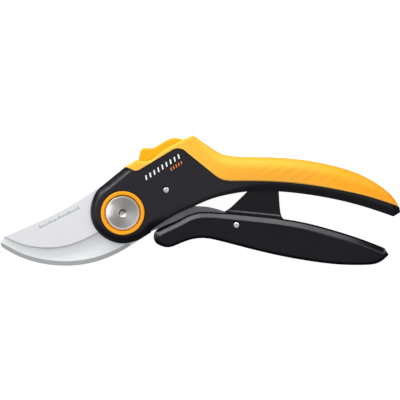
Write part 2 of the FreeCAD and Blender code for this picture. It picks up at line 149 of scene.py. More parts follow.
def bulge(x, start, peak, end):
    """Half width at x of a plan that swells along arcs from start to peak and back to end."""
    out = np.zeros_like(x)
    for (px, pw), part in ((start, x <= peak[0]), (end, x > peak[0])):
        run, drop = peak[0] - px, peak[1] - pw
        radius = (run * run + drop * drop) / (2 * drop)
        over = np.clip(np.abs(x - peak[0]), 0, abs(run))
        out = np.where(part, peak[1] - radius + np.sqrt(radius * radius - over * over), out)
    return out


# --- meshes ------------------------------------------------------------------------------------------
def raw_mesh(name, verts_mm, faces):
    mesh = bpy.data.meshes.new(name)
    mesh.from_pydata([tuple(c * MM for c in v) for v in verts_mm], [], faces)
    mesh.validate()
    bm = bmesh.new()
    bm.from_mesh(mesh)
    bmesh.ops.recalc_face_normals(bm, faces=bm.faces)
    bm.to_mesh(mesh)
    bm.free()
    obj = bpy.data.objects.new(name, mesh)
    bpy.context.scene.collection.objects.link(obj)
    return obj


def carve(obj, cutters):
    """Takes the cutters away from obj, and removes them."""
    for cutter in cutters:
        change = obj.modifiers.new("carve", "BOOLEAN")
        change.operation, change.object, change.solver = "DIFFERENCE", cutter, "EXACT"
        whole = bpy.data.meshes.new_from_object(obj.evaluated_get(bpy.context.evaluated_depsgraph_get()))
        obj.modifiers.clear()
        obj.data = whole
        bpy.data.objects.remove(cutter)


def block(outline, z0, z1):
    """A prism with the given outline, to carve with."""
    loop = [tuple(p) for p in outline]
    n = len(loop)
    verts = [(x, y, z) for z in (z0, z1) for x, y in loop]
    faces = [tuple(range(n)), tuple(range(2 * n - 1, n - 1, -1))]
    faces += [(k, n + k, n + (k + 1) % n, (k + 1) % n) for k in range(n)]
    return raw_mesh("block", verts, faces)


def drum(centre, radius, z0, z1, sides=96):
    angles = np.arange(sides) * 2 * math.pi / sides
    circle = np.stack([centre[0] + radius * np.cos(angles), centre[1] + radius * np.sin(angles)], 1)
    return block(circle, z0, z1)


def mesh_piece(name, verts_mm, faces, material, body, cutters=(), **more):
    obj = raw_mesh(name, verts_mm, faces)
    carve(obj, cutters)
    return finish_piece(obj, material, body, **more)


def finish_piece(obj, material, body, replaced=(), slot=None, smooth_deg=35):
    obj.data.materials.clear()
    obj.data.materials.append(material)
    shade(obj, smooth_deg)
    if replaced:
        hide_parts(*replaced)
    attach(obj, body)
    return obj


def shade(obj, degrees):
    """Smooth faces, with the edges sharper than that kept sharp."""
    mesh = obj.data
    bm = bmesh.new()
    bm.from_mesh(mesh)
    for face in bm.faces:
        face.smooth = True
    for edge in bm.edges:
        edge.smooth = len(edge.link_faces) == 2 and edge.calc_face_angle(0) < math.radians(degrees)
    bm.to_mesh(mesh)
    bm.free()


def pillow(name, outline, height, material, body, step, rings, lip=None, **more):
    """A closed piece with the given outline, from MID - height to MID + height at every point inside it.

    height takes points and gives half thicknesses. Points fill the outline step apart, and rings of points
    follow it at the listed distances inside it, to carry the rounding of the rim. lip is a line along which
    the attribute "lip" is 1; it fades to 0 a little over LIP_WIDTH away. The material uses it to paint a
    highlight along the grip's seam lip.
    """
    tangent = np.roll(outline, -1, axis=0) - np.roll(outline, 1, axis=0)
    normal = np.stack([-tangent[:, 1], tangent[:, 0]], 1)
    normal /= np.linalg.norm(normal, axis=1)[:, None]
    if not inside(outline[:1] + 0.02 * normal[:1], outline)[0]:
        normal = -normal
    points = [outline]
    for d in rings:
        ring = outline + d * normal
        ring = ring[inside(ring, outline)]
        points.append(ring[distance(ring, outline, True) > d * 0.97])
    low, high = outline.min(0), outline.max(0)
    across, up = np.arange(low[0], high[0], step), np.arange(low[1], high[1], step * TRIANGLE)
    grid = np.stack(np.meshgrid(across, up), -1)
    grid[1::2, :, 0] += step / 2
    grid = grid.reshape(-1, 2)
    grid = grid[inside(grid, outline)]
    points.append(grid[distance(grid, outline, True) > (rings[-1] if rings else 0) + step * 0.6])
    flat = np.concatenate(points)
    n = len(outline)
    rim = [(i, (i + 1) % n) for i in range(n)]
    made = delaunay_2d_cdt([Vector(p) for p in flat], rim, [], 1, 1e-5)
    xy = np.array([tuple(v) for v in made[0]])
    triangles = [tuple(f) for f in made[2]]
    h = height(xy)
    total = len(xy)
    verts = [(x, y, MID + z) for (x, y), z in zip(xy, h)] + [(x, y, MID - z) for (x, y), z in zip(xy, h)]
    faces = triangles + [tuple(total + i for i in reversed(f)) for f in triangles]
    place = {}
    for new, olds in enumerate(made[3]):
        for old in olds:
            place[old] = new
    loop = [place[i] for i in range(n)]
    faces += [(loop[k], total + loop[k], total + loop[(k + 1) % n], loop[(k + 1) % n]) for k in range(n)]
    obj = mesh_piece(name, verts, faces, material, body, **more)
    if lip is not None:
        # the painted highlight along the lip: 1 on the line, fading to 0 farther off
        spots = np.array([tuple(v.co)[:2] for v in obj.data.vertices]) / MM
        painted_highlight = obj.data.attributes.new("lip", "FLOAT", "POINT")
        amount = np.clip(LIP_START - distance(spots, lip) / LIP_WIDTH, 0, 1)
        painted_highlight.data.foreach_set("value", amount.astype(np.float32))
    return obj


def lathe(name, profile, material, body, centre=(0.0, 0.0), turns=128, **more):
    """A piece turned about Z from (radius, height) points.

    A profile that starts and ends at radius 0 is solid; any other one is joined up into a ring.
    """
    verts, rows = [], []
    for r, z in profile:
        if r < 1e-6:
            rows.append([len(verts)])
            verts.append((centre[0], centre[1], z))
        else:
            rows.append(list(range(len(verts), len(verts) + turns)))
            verts += [(centre[0] + r * math.cos(2 * math.pi * k / turns),
                       centre[1] + r * math.sin(2 * math.pi * k / turns), z) for k in range(turns)]
    if len(rows[0]) > 1:
        rows.append(rows[0])
    faces = []
    for a, b in zip(rows, rows[1:]):
        for k in range(turns):
            j = (k + 1) % turns
            if len(a) == 1 and len(b) == 1:
                continue
            if len(a) == 1:
                faces.append((a[0], b[k], b[j]))
            elif len(b) == 1:
                faces.append((a[k], b[0], a[j]))
            else:
                faces.append((a[k], b[k], b[j], a[j]))
    return mesh_piece(name, verts, faces, material, body, **more)


def tube_along(name, path, radius, material, body, sides=10, **more):
    """A round bead that follows a path of 3-D points."""
    path = np.array(path, float)
    ahead = np.gradient(path, axis=0)
    ahead /= np.linalg.norm(ahead, axis=1)[:, None]
    verts, faces = [], []
    for p, d in zip(path, ahead):
        side = np.cross(d, (0, 0, 1.0))
        side /= max(np.linalg.norm(side), 1e-9)
        up = np.cross(side, d)
        for k in range(sides):
            angle = 2 * math.pi * k / sides
            verts.append(tuple(p + radius * (math.cos(angle) * side + math.sin(angle) * up)))
    for i in range(len(path) - 1):
        for k in range(sides):
            j = (k + 1) % sides
            faces.append((i * sides + k, (i + 1) * sides + k, (i + 1) * sides + j, i * sides + j))
    last = (len(path) - 1) * sides
    faces += [tuple(range(sides - 1, -1, -1)), tuple(range(last, last + sides))]
    return mesh_piece(name, verts, faces, material, body, **more)


# --- materials ---------------------------------------------------------------------------------------
class Shader:
    """A node material built up a socket at a time."""

    def __init__(self, name, rough=0.5, metal=0.0, spec=0.5):
        self.material = bpy.data.materials.new(name)
        self.material.use_nodes = True
        self.nodes = self.material.node_tree.nodes
        self.links = self.material.node_tree.links
        self.base = self.nodes["Principled BSDF"]
        self.base.inputs["Roughness"].default_value = rough
        self.base.inputs["Metallic"].default_value = metal
        self.base.inputs["Specular IOR Level"].default_value = spec
        self.where = self.nodes.new("ShaderNodeTexCoord").outputs["Object"]

    def add(self, kind, inputs=None, **settings):
        node = self.nodes.new(kind)
        for key, value in settings.items():
            setattr(node, key, value)
        for key, value in (inputs or {}).items():
            if isinstance(value, bpy.types.NodeSocket):
                self.links.new(value, node.inputs[key])
            else:
                node.inputs[key].default_value = value
        return node

    def stretched(self, scale, turn):
        turned = self.add("ShaderNodeMapping", {"Vector": self.where, "Rotation": (0, 0, turn)})
        return self.add("ShaderNodeMapping", {"Vector": turned.outputs[0], "Scale": scale}).outputs[0]

    def noise(self, scale, detail=3.0, rough=0.5, where=None):
        node = self.add("ShaderNodeTexNoise", {"Vector": where or self.where, "Scale": scale,
                                               "Detail": detail, "Roughness": rough})
        return node.outputs["Fac"]

    def span(self, fac, low, high, a=0.35, b=0.65):
        """fac from a..b to low..high."""
        node = self.add("ShaderNodeMapRange", {"Value": fac, "From Min": a, "From Max": b, "To Min": low,
                                               "To Max": high})
        return node.outputs[0]

    def ramp(self, fac, *stops):
        node = self.add("ShaderNodeValToRGB", {"Fac": fac})
        band = node.color_ramp
        while len(band.elements) < len(stops):
            band.elements.new(0.5)
        for element, (at, colour) in zip(band.elements, stops):
            element.position = at
            element.color = (*colour, 1.0)
        return node.outputs["Color"]

    def mix(self, fac, a, b):
        node = self.add("ShaderNodeMix", data_type="RGBA")
        for key, value in (("Factor", fac), ("A", a), ("B", b)):
            socket = [s for s in node.inputs if s.name == key and s.enabled][0]
            if isinstance(value, bpy.types.NodeSocket):
                self.links.new(value, socket)
            else:
                socket.default_value = value if key == "Factor" else (*value, 1.0)
        return [s for s in node.outputs if s.enabled][0]

    def maths(self, kind, a, b=0.0):
        node = self.add("ShaderNodeMath", {0: a, 1: b}, operation=kind)
        return node.outputs[0]

    def colour(self, socket):
        self.links.new(socket, self.base.inputs["Base Color"])

    def rough(self, socket):
        self.links.new(socket, self.base.inputs["Roughness"])

    def bump(self, *layers):
        """Bump from (height socket, depth in metres) layers."""
        normal = None
        for height, depth in layers:
            inputs = {"Height": height, "Strength": 1.0, "Distance": depth}
            if normal is not None:
                inputs["Normal"] = normal
            normal = self.add("ShaderNodeBump", inputs).outputs[0]
        self.links.new(normal, self.base.inputs["Normal"])


def moulded_black(name, base=(0.0062, 0.0055, 0.0095), rough=0.36, spec=0.33, grain=1.0):
    """Glass-filled nylon: a fine grain, faint flow streaks and slightly rubbed spots."""
    s = Shader(name, rough=rough, spec=spec)
    flow = s.noise(60.0, 4.0, 0.55, s.stretched((1.0, 5.0, 3.0), turn=-0.35))
    cloud = s.noise(35.0, 3.0)
    light = tuple(min(1.0, c * 1.45 + 0.001) for c in base)
    tone = s.ramp(flow, (0.30, tuple(c * 0.8 for c in base)), (0.52, base), (0.75, light))
    s.colour(s.mix(s.span(cloud, 0.0, 0.5), tone, tuple(c * 0.75 for c in base)))
    s.rough(s.span(s.noise(420.0, 2.0), rough - 0.04 * grain, rough + 0.06 * grain))
    s.bump((s.noise(2600.0, 2.0, 0.6), 0.000005 * grain), (s.noise(900.0, 3.0, 0.6), 0.000006 * grain))
    return s.material


def soft_orange(name, near=(0.96, 0.47, 0.045), far=(0.93, 0.30, 0.004), rough=0.42):
    """Soft-touch elastomer with fine grain, faint scuffs and a painted highlight along the seam's lip; its
    orange deepens toward the handle's end.
    """
    s = Shader(name, rough=rough, spec=0.12)
    x = s.add("ShaderNodeSeparateXYZ", {"Vector": s.where}).outputs[0]
    run = s.span(x, 0.0, 1.0, 0.02, 0.155)
    body = s.ramp(run, (0.0, near), (0.55, (0.95, 0.42, 0.036)), (0.78, (0.94, 0.36, 0.012)), (1.0, far))
    cloud = s.span(s.noise(55.0, 4.0, 0.6), 0.0, 0.35)
    tone = s.mix(cloud, body, tuple(c * 0.88 for c in near))
    painted_highlight = s.add("ShaderNodeAttribute", attribute_name="lip").outputs["Fac"]
    # painted highlight: the seam's lip is lightened to a pale orange, as if it caught the light
    tone = s.mix(s.maths("MULTIPLY", painted_highlight, 0.55), tone, (1.0, 0.64, 0.16))
    scuff = s.span(s.noise(240.0, 5.0, 0.7, s.stretched((1.0, 4.0, 1.0), turn=0.6)), 0.0, 0.16, 0.55, 0.72)
    s.colour(s.mix(scuff, tone, (0.98, 0.62, 0.16)))
    s.rough(s.span(s.noise(500.0, 3.0), rough - 0.07, rough + 0.09))
    s.bump((s.noise(2200.0, 2.0, 0.6), 0.000022), (s.noise(700.0, 3.0), 0.000025))
    return s.material


def hard_orange(name, base=(0.75, 0.385, 0.006)):
    """Moulded gloss plastic with a slight orange peel."""
    s = Shader(name, rough=0.36, spec=0.14)
    s.colour(s.ramp(s.noise(90.0, 3.0), (0.3, tuple(c * 0.93 for c in base)), (0.7, base)))
    s.rough(s.span(s.noise(600.0, 3.0), 0.26, 0.4))
    s.bump((s.noise(1500.0, 2.0), 0.000012), (s.noise(350.0, 2.0), 0.00002))
    return s.material


def ground_steel(name, tone=(0.80, 0.80, 0.825), rough=0.33, metal=0.85, turn=0.52, stretch=60.0, tang=None):
    """Satin steel ground one way: long fine scratches. Past X = tang metres it is painted dark grey, as
    painted shade where the tang lies under the head.
    """
    s = Shader(name, rough=rough, metal=metal)
    fine = s.noise(90.0, 4.0, 0.65, s.stretched((1.0, stretch, 1.0), turn=turn))
    broad = s.noise(18.0, 2.0)
    dark = tuple(c * 0.93 for c in tone)
    grains = s.ramp(fine, (0.25, dark), (0.5, tone), (0.8, tuple(min(1, c * 1.03) for c in tone)))
    shown = s.mix(s.span(broad, 0.0, 0.4), grains, tuple(c * 0.96 for c in tone))
    if tang is not None:
        x = s.add("ShaderNodeSeparateXYZ", {"Vector": s.where}).outputs[0]
        # painted shade: past the tang line the steel is coloured dark grey, for the shade under the head
        painted_tang_shade = s.ramp(s.noise(300.0, 4.0, 0.6), (0.3, (0.16, 0.16, 0.17)), (0.7, (0.21, 0.21, 0.22)))
        shown = s.mix(s.span(x, 0.0, 1.0, tang, tang + 0.002), shown, painted_tang_shade)
    s.colour(shown)
    s.rough(s.span(fine, rough - 0.07, rough + 0.07))
    s.bump((fine, 0.000004))
    return s.material


def turned_steel(name, tone=(0.43, 0.425, 0.41), rough=0.3, pitch=9000.0):
    """Steel turned about the pivot: fine circular marks, with painted reflections: broad bright and dark
    sectors, a near-white glint wedge at the left and a pale pinkish rim at the lower edge.
    """
    s = Shader(name, rough=rough, metal=1.0)
    x, y, _ = s.add("ShaderNodeSeparateXYZ", {"Vector": s.where}).outputs
    radius = s.maths("SQRT", s.maths("ADD", s.maths("MULTIPLY", x, x), s.maths("MULTIPLY", y, y)))
    ring = s.add("ShaderNodeCombineXYZ", {"X": radius, "Y": 0.0, "Z": 0.0}).outputs[0]
    fine = s.noise(pitch, 2.0, 0.6, ring)
    wide = s.noise(900.0, 3.0, 0.6, ring)
    angle = s.maths("ARCTAN2", y, x)
    # painted reflection: bright and dark sectors around the pivot, by angle
    sweep = s.maths("COSINE", s.maths("MULTIPLY", s.maths("ADD", angle, -2.6), 2.0))
    painted_sectors = s.ramp(s.span(sweep, 0.0, 1.0, -1.0, 1.0), (0.0, tuple(c * 0.72 for c in tone)), (0.6, tone),
                   (1.0, tuple(min(1, c * 1.35) for c in tone)))
    # painted glint: a near-white wedge at the left of the rim, made less metallic so it shows bright
    wedge = s.span(s.maths("COSINE", s.maths("ADD", angle, -2.95)), 0.0, 1.0, 0.82, 0.97)
    wedge = s.maths("MULTIPLY", wedge, s.span(radius, 0.0, 1.0, 0.0045, 0.0080))
    painted_glint = s.mix(wedge, painted_sectors, (0.97, 0.97, 0.96))
    s.links.new(s.span(wedge, 1.0, 0.35, 0.0, 1.0), s.base.inputs["Metallic"])
    # painted reflection: a pale pinkish rim along the lower edge, as of the orange ring
    edge = s.maths("MULTIPLY", s.span(radius, 0.0, 0.8, 0.0080, 0.0088), s.span(y, 1.0, 0.25, -0.003, 0.004))
    painted_glint = s.mix(edge, painted_glint, (0.97, 0.86, 0.80))
    s.colour(s.mix(s.span(wide, 0.0, 0.3), painted_glint, tuple(c * 0.7 for c in tone)))
    s.rough(s.span(fine, rough - 0.05, rough + 0.1))
    s.bump((fine, 0.000003), (wide, 0.000004))
    s.base.inputs["Anisotropic"].default_value = 0.6
    return s.material


def plain_steel(name, tone=(0.50, 0.50, 0.51), rough=0.36, scale=600.0):
    """Tumbled or plated steel: small mottling and handling marks."""
    s = Shader(name, rough=rough, metal=1.0)
    spots = s.noise(scale, 4.0, 0.6)
    bright = tuple(min(1, c * 1.1) for c in tone)
    s.colour(s.ramp(spots, (0.3, tuple(c * 0.82 for c in tone)), (0.6, tone), (0.85, bright)))
    s.rough(s.span(s.noise(scale * 2.3, 2.0), rough - 0.08, rough + 0.1))
    s.bump((spots, 0.000006))
    return s.material


def matt_rubber(name, tone=(0.018, 0.018, 0.018)):
    s = Shader(name, rough=0.7, spec=0.3)
    s.colour(s.ramp(s.noise(500.0, 3.0), (0.3, tuple(c * 0.7 for c in tone)), (0.7, tone)))
    s.rough(s.span(s.noise(900.0, 2.0), 0.6, 0.82))
    s.bump((s.noise(1600.0, 2.0), 0.00002))
    return s.material


def print_ink(name, tone, rough=0.4):
    """Pad-printed ink: nearly even, slightly thin in places."""
    s = Shader(name, rough=rough, spec=0.4)
    s.colour(s.ramp(s.noise(1400.0, 3.0, 0.7), (0.25, tuple(c * 0.72 for c in tone)), (0.55, tone)))
    s.rough(s.span(s.noise(2000.0, 2.0), rough - 0.05, rough + 0.1))
    s.bump((s.noise(2500.0, 2.0), 0.000008))
    return s.material


BLACK = moulded_black("black_nylon")
BLACK_LOW = moulded_black("black_nylon_lower", base=(0.0022, 0.0018, 0.0050), rough=0.22, spec=0.22,
                          grain=0.12)
SEAM_BLACK = moulded_black("black_seam", base=(0.006, 0.006, 0.006), rough=0.6, spec=0.15)
ORANGE = soft_orange("soft_orange")
LOCK_ORANGE = hard_orange("lock_orange")
RING_ORANGE = hard_orange("ring_orange", (0.90, 0.36, 0.014))
# the blade's tang is painted dark, as painted shade under the head
BLADE = ground_steel("blade_steel", (0.865, 0.865, 0.895), rough=0.42, tang=0.010)
HOOK = ground_steel("hook_steel", (0.92, 0.925, 0.93), rough=0.42, metal=0.58, turn=0.3)
CAP = turned_steel("turned_steel")
FASTENER = plain_steel("fastener_steel")
RIVET = plain_steel("rivet_steel", (0.62, 0.62, 0.61), rough=0.28)
SPRING = plain_steel("spring_steel", (0.30, 0.30, 0.32), rough=0.34, scale=900.0)
RUBBER = matt_rubber("stop_rubber")
WHITE_INK = print_ink("white_ink", (0.86, 0.86, 0.88))
ORANGE_INK = print_ink("orange_ink", (0.80, 0.22, 0.04))
ETCH = print_ink("etched_mark", (0.10, 0.10, 0.11), rough=0.6)


# --- outlines, as in the CAD -------------------------------------------------------------------------
END_MID, END_TOP = (156.4, 0.4), (155.9, 3.2)
SEAM_FRONT, KNEE, CREST = (1.2, 26.0), (39.2, 43.8), (41.3, 42.5)
SEAM_BEND, SEAM_CORNER = (51.5, 21.3), (35.8, 33.9)
SEAM = join(
    spline(END_TOP, (142.2, 7.8), (124.1, 12.4), (106.0, 15.6), (87.9, 17.45), (72.0, 17.95), (60.5, 17.9)),
    spline((60.5, 17.9), (55.8, 18.8), SEAM_BEND),
    straight(SEAM_BEND, SEAM_CORNER),
    arc(SEAM_CORNER, (32.5, 35.9), (28.5, 35.5)),
    straight((28.5, 35.5), (9.6, 24.1)),
    arc((9.6, 24.1), (7.4, 23.5), (5.3, 24.1)),
    straight((5.3, 24.1), SEAM_FRONT))
SPINE = join(
    spline(CREST, (49.4, 36.9), (55.5, 33.4), (61.0, 32.1), (70.0, 31.6), (89.0, 31.1), (105.0, 29.4),
           (120.0, 26.3), (134.3, 21.5), (145.6, 14.9), (152.5, 8.6), END_TOP))
HEAD_TOP = join(
    straight(SEAM_FRONT, (8.0, 30.1)),
    spline((8.0, 30.1), along_lock(25.0, 19.0), along_lock(38.0, 18.9), along_lock(46.0, 18.6), (35.0, 42.0)),
    spline((35.0, 42.0), (37.2, 42.7), KNEE))
UPPER_BULGE = ((-90.0, 8.81), (86.0, 11.0), (158.0, 6.0))
LOWER_BULGE = ((16.0, 7.4), (92.0, 11.0), (151.0, 5.6))


def upper_face(x):
    """Half thickness of the black frame at x."""
    return np.minimum(CHEEK, bulge(x, *UPPER_BULGE))


END_LOW = (152.6, -1.9)
RIM = join(
    straight(SEAM_FRONT, (-11.6, 15.5)),
    spline((-11.6, 15.5), (-14.6, 12.5), (-16.9, 8.1), (-18.1, 3.4), (-17.8, -3.5), (-14.4, -10.2),
           (-7.6, -15.4), (1.1, -17.1), (9.4, -15.0)),
    straight((9.4, -15.0), (15.7, -11.0)),
    straight((15.7, -11.0), (15.5, -9.8)),
    spline((15.5, -9.8), (24.0, -4.2), (31.2, -0.1), (40.2, 3.9), (49.4, 7.8), (60.8, 10.7), (72.0, 12.3),
           (84.0, 12.4), (100.4, 11.0), (117.3, 8.3), (134.3, 4.2), (145.6, 0.6), END_LOW),
    straight(END_LOW, END_MID),
    straight(END_MID, END_TOP))
CHANNEL = closed(
    spline((61.0, 2.0), (62.5, 14.0), (68.0, 23.2), (90.0, 23.6), (108.0, 21.0), (122.0, 17.4), (136.0, 12.0),
           (147.0, 5.4)),
    straight((147.0, 5.4), (147.0, -20.0), 5.0),
    straight((147.0, -20.0), (61.0, -20.0), 5.0),
    straight((61.0, -20.0), (61.0, 2.0), 5.0))
CORE = closed(
    straight((30.0, 33.0), (37.2, 38.8)),
    spline((37.2, 38.8), (40.8, 39.6), (46.8, 35.4), (53.5, 31.2), (60.5, 29.7), (72.0, 29.2), (89.0, 28.7),
           (105.0, 26.9), (120.0, 23.6), (131.0, 19.2), (139.0, 14.4)),
    straight((139.0, 14.4), (138.0, 5.0)),
    spline((138.0, 5.0), (120.0, 13.2), (90.0, 16.4), (60.0, 15.0)),
    straight((60.0, 15.0), (30.0, 33.0)))
BLADE_SLOT = [(-40, -60), (-40, 40), (-2.6, 40), (-2.6, 19.2), along_lock(9.4, 15.8), along_lock(9.4, 13.1),
              along_lock(37.5, 13.1), (34.0, 16.0), (44.0, 7.6), (49.0, 2.0), (60, -60)]
STEM_ROOM = [along_lock(t, n) for t, n in ((24.5, 12.0), (35.8, 12.0), (35.8, 20.0), (24.5, 20.0))]
GROOVE = [along_lock(t, n) for t, n in ((16.2, 17.4), (50.4, 17.4), (50.4, 40.0), (16.2, 40.0))]
GROOVE_HALF, BUTTON_HALF = 5.5, 5.2
HOOK_RIVET, TANG_RIVET = (24.5, 12.8), (63.9, -6.8)
HOOK_SEAT, TANG_SEAT = 2.35, 2.4           # radii of the rivets' seats
TANG_FLOOR = 9.95          # how far from MID the seats of the lower handle's rivet are
CAP_BORE, RING_SEAT, BOLT_BORE, NUT_SEAT = 9.8, 12.85, 5.0, 8.2
RING_FLOOR = FRONT - 1.3
CHANNEL_HALF = 4.2
RIB, RIB_HALF, RIB_TOP = 2.0, 5.0, 60.0


def channel_cutter():
    """The room that the web closes into, with its cross ribs left standing."""
    room = block(CHANNEL, MID - CHANNEL_HALF, MID + CHANNEL_HALF)
    ribs = [block([(x, foot), (x + RIB, foot), (x + RIB, RIB_TOP), (x, RIB_TOP)],
                  MID - RIB_HALF, MID + RIB_HALF)
            for x, foot in ((100.0, 14.0), (115.0, 11.6), (130.0, 8.2))]
    carve(room, ribs)
    return room


# --- upper handle frame ------------------------------------------------------------------------------
def crest(d, width, slope, soft=0.45):
    """How far a bevel of this width and slope, soft at its inner edge, has dropped at d from the rim."""
    return slope * soft * np.log1p(np.exp((width - d) / soft))


def rounded(d, width, drop):
    """How far a rim rounded like a quarter ellipse has dropped at a distance d from its outline."""
    return drop * (1 - np.sqrt(1 - (1 - np.clip(d / width, 0, 1)) ** 2))


def frame_height(xy):
    x, d = xy[:, 0], distance(xy, RIM)
    handle = smoothstep(14.0, 28.0, x)
    under = crest(d, 2.0 + 2.6 * smoothstep(50.0, 84.0, x), 0.64)
    # the head's rim is steep at the outline and eases inward, up to a soft crease
    width = 3.4 + 0.9 * smoothstep(-16.0, -7.0, x)
    edge = crest(d, width, 0.66, 0.32) + 0.38 * width * np.clip(1 - d / width, 0, 1) ** 2.5
    return upper_face(x) - (1 - handle) * edge - handle * under


frame_cuts = [
    block(BLADE_SLOT, MID - STEEL, MID + STEEL + 0.35),
    channel_cutter(),
    drum(PIVOT, CAP_BORE, MID + 2.0, ABOVE),
    drum(PIVOT, RING_SEAT, RING_FLOOR, ABOVE),
    drum(PIVOT, BOLT_BORE, BELOW, MID),
    drum(PIVOT, NUT_SEAT, BELOW, REAR + 2.0),
    drum(HOOK_RIVET, HOOK_SEAT, FRONT - 0.6, ABOVE),
    drum(HOOK_RIVET, HOOK_SEAT, BELOW, REAR + 0.6),
    block(STEM_ROOM, MID, MID + 3.4)]
pillow("frame_skin", closed(SEAM, RIM), frame_height, BLACK, "upper_handle", step=1.3,
       rings=(0.08, 0.25, 0.55, 0.95, 1.4, 1.9, 2.4, 3.0, 3.6, 4.3), cutters=frame_cuts,
       replaced=("handle_frame",), slot="black_nylon", smooth_deg=40)
pillow("frame_core", CORE, lambda xy: np.full(len(xy), 6.9), BLACK, "upper_handle", step=4.0, rings=(),
       cutters=[channel_cutter()], slot="black_nylon")


# --- soft grip ---------------------------------------------------------------------------------------
PROUD = 0.15               # the grip stands above the frame by this
SWELL = 11.0               # width of the flank that rises from the seam
RIPPLE, RIPPLE_PITCH, RIPPLE_TURN = 0.085, 4.7, -0.95


def grip_height(xy):
    x, y = xy[:, 0], xy[:, 1]
    to_seam = distance(xy, SEAM)
    to_top = np.minimum(distance(xy, SPINE), distance(xy, HEAD_TOP))
    handle = smoothstep(38.0, 60.0, x)
    full = upper_face(x) + PROUD + handle * (bulge(x, *UPPER_BULGE) - upper_face(x) - PROUD)
    # the flank starts a little proud of the frame and swells away from the seam
    rise = np.maximum(full - upper_face(x) - PROUD - handle, 0) * (1 - np.clip(to_seam / SWELL, 0, 1)) ** 2
    # the spine edge is well rounded on the handle, and crisper on the head
    radius = 1.5 + 5.3 * smoothstep(38.0, 58.0, x) * (1 - 0.6 * smoothstep(126.0, 154.0, x))
    round_top = rounded(to_top, radius, radius)
    round_seam = rounded(to_seam, 0.7, 0.7)
    across = x * math.cos(RIPPLE_TURN) + y * math.sin(RIPPLE_TURN)
    ripple = RIPPLE * np.sin(2 * math.pi * across / RIPPLE_PITCH)
    ripple *= smoothstep(62.0, 84.0, x) * (1 - 0.55 * smoothstep(118.0, 146.0, x))
    ripple *= smoothstep(1.5, 5.0, to_seam) * smoothstep(1.0, 4.5, to_top)
    return full - rise - round_top - round_seam + ripple - RIPPLE * handle


grip_loop = closed(SEAM, HEAD_TOP, straight(KNEE, CREST), SPINE)
pillow("soft_grip_skin", grip_loop, grip_height, ORANGE, "upper_handle", step=0.9,
       rings=(0.12, 0.3, 0.6, 1.0, 1.6, 2.4, 3.4),
       cutters=[block(GROOVE, MID - GROOVE_HALF, MID + GROOVE_HALF), channel_cutter()],
       replaced=("soft_grip",), slot="orange_grip", smooth_deg=42, lip=SEAM)

for side, label in ((1, "front"), (-1, "rear")):
    line = SEAM[3:-2]
    z = MID + side * (upper_face(line[:, 0]) - 0.02)
    tube_along(f"seam_line_{label}", np.column_stack([line, z]), 0.24, SEAM_BLACK, "upper_handle",
               slot="black_nylon")


# --- lock button -------------------------------------------------------------------------------------
def button_outline():
    front = spline(*[along_lock(t, n) for t, n in ((22.3, 21.0), (23.7, 22.4), (25.4, 24.4), (27.0, 25.6),
                                                   (28.7, 25.7))], step=0.4)
    back = spline(*[along_lock(t, n) for t, n in ((28.7, 25.7), (30.7, 24.3), (33.0, 23.1), (37.0, 22.9),
                                                  (42.5, 22.8), (46.2, 21.9), (49.6, 19.2))], step=0.4)
    heel, toe = [along_lock(t, n) for t, n in ((49.6, 17.5), (22.3, 17.5))]
    return closed(front, back, straight(back[-1], heel), straight(heel, toe), straight(toe, front[0]))


def button_height(xy):
    return BUTTON_HALF - rounded(distance(xy, button_outline(), True), 1.1, 1.1)


pillow("lock_button_skin", button_outline(), button_height, LOCK_ORANGE, "lock", step=1.0,
       rings=(0.1, 0.25, 0.5, 0.8, 1.15), replaced=("lock_button",), slot="orange_hard")


# --- lower handle ------------------------------------------------------------------------------------
NOSE_TOP, TAIL, TIP = (19.4, -9.1), (147.2, -19.6), (149.8, -23.6)
LOWER_NOSE = arc(NOSE_TOP, (17.3, -13.6), (19.9, -17.8))
LOWER_BOTTOM = spline(
    (19.9, -17.8), (24.6, -19.3), (31.0, -17.6), (38.0, -15.0), (45.0, -14.1), (55.1, -15.8), (72.1, -20.2),
    (89.0, -24.1), (106.0, -27.1), (123.0, -29.0), (136.0, -29.2), (144.5, -27.8), TIP)
LOWER_TAIL = straight(TIP, TAIL)
LOWER_TOP = join(
    spline(TAIL, (134.3, -14.65), (117.3, -9.25), (100.4, -5.0), (88.0, -3.1), (73.4, -1.6), (57.2, 0.0),
           (49.5, 0.6), (43.5, 0.6)),
    spline((43.5, 0.6), (37.5, -0.9), (31.2, -3.9), (24.4, -6.75), NOSE_TOP))
LOWER_LOOP = closed(LOWER_NOSE, LOWER_BOTTOM, LOWER_TAIL, LOWER_TOP)


def lower_height(xy):
    x = xy[:, 0]
    face = bulge(x, *LOWER_BULGE)
    to_top = distance(xy, LOWER_TOP)
    by_nose = 1 - smoothstep(20.0, 36.0, x)
    by_web = smoothstep(54.0, 60.0, x) * (1 - smoothstep(86.0, 91.0, x))
    width = 3.65 + 0.7 * by_nose + 0.4 * smoothstep(70.0, 98.0, x) - 0.9 * smoothstep(108.0, 146.0, x)
    top = crest(to_top, width, 0.66, 0.22 + 0.3 * by_nose)
    top += rounded(to_top, 0.75 - 0.25 * by_web + 0.9 * by_nose, 1.5 - 1.0 * by_web + 0.3 * by_nose)
    nose = crest(distance(xy, LOWER_NOSE), 2.2, 0.6, 0.3)
    tail = crest(distance(xy, LOWER_TAIL), 1.6, 0.6, 0.25)
    low = rounded(distance(xy, LOWER_BOTTOM), 2.6, 2.6)
    return face - np.maximum.reduce([top, nose, tail, low])


pillow("lower_handle_skin", LOWER_LOOP, lower_height, BLACK_LOW, "lower_lever", step=1.2,
       rings=(0.05, 0.15, 0.3, 0.5, 0.75, 1.3, 1.9, 2.5, 3.0, 3.4, 3.8, 4.3),
       cutters=[drum(TANG_RIVET, TANG_SEAT, MID + TANG_FLOOR, ABOVE),
                drum(TANG_RIVET, TANG_SEAT, BELOW, MID - TANG_FLOOR)],
       replaced=("lower_handle",), slot="black_nylon", smooth_deg=60)


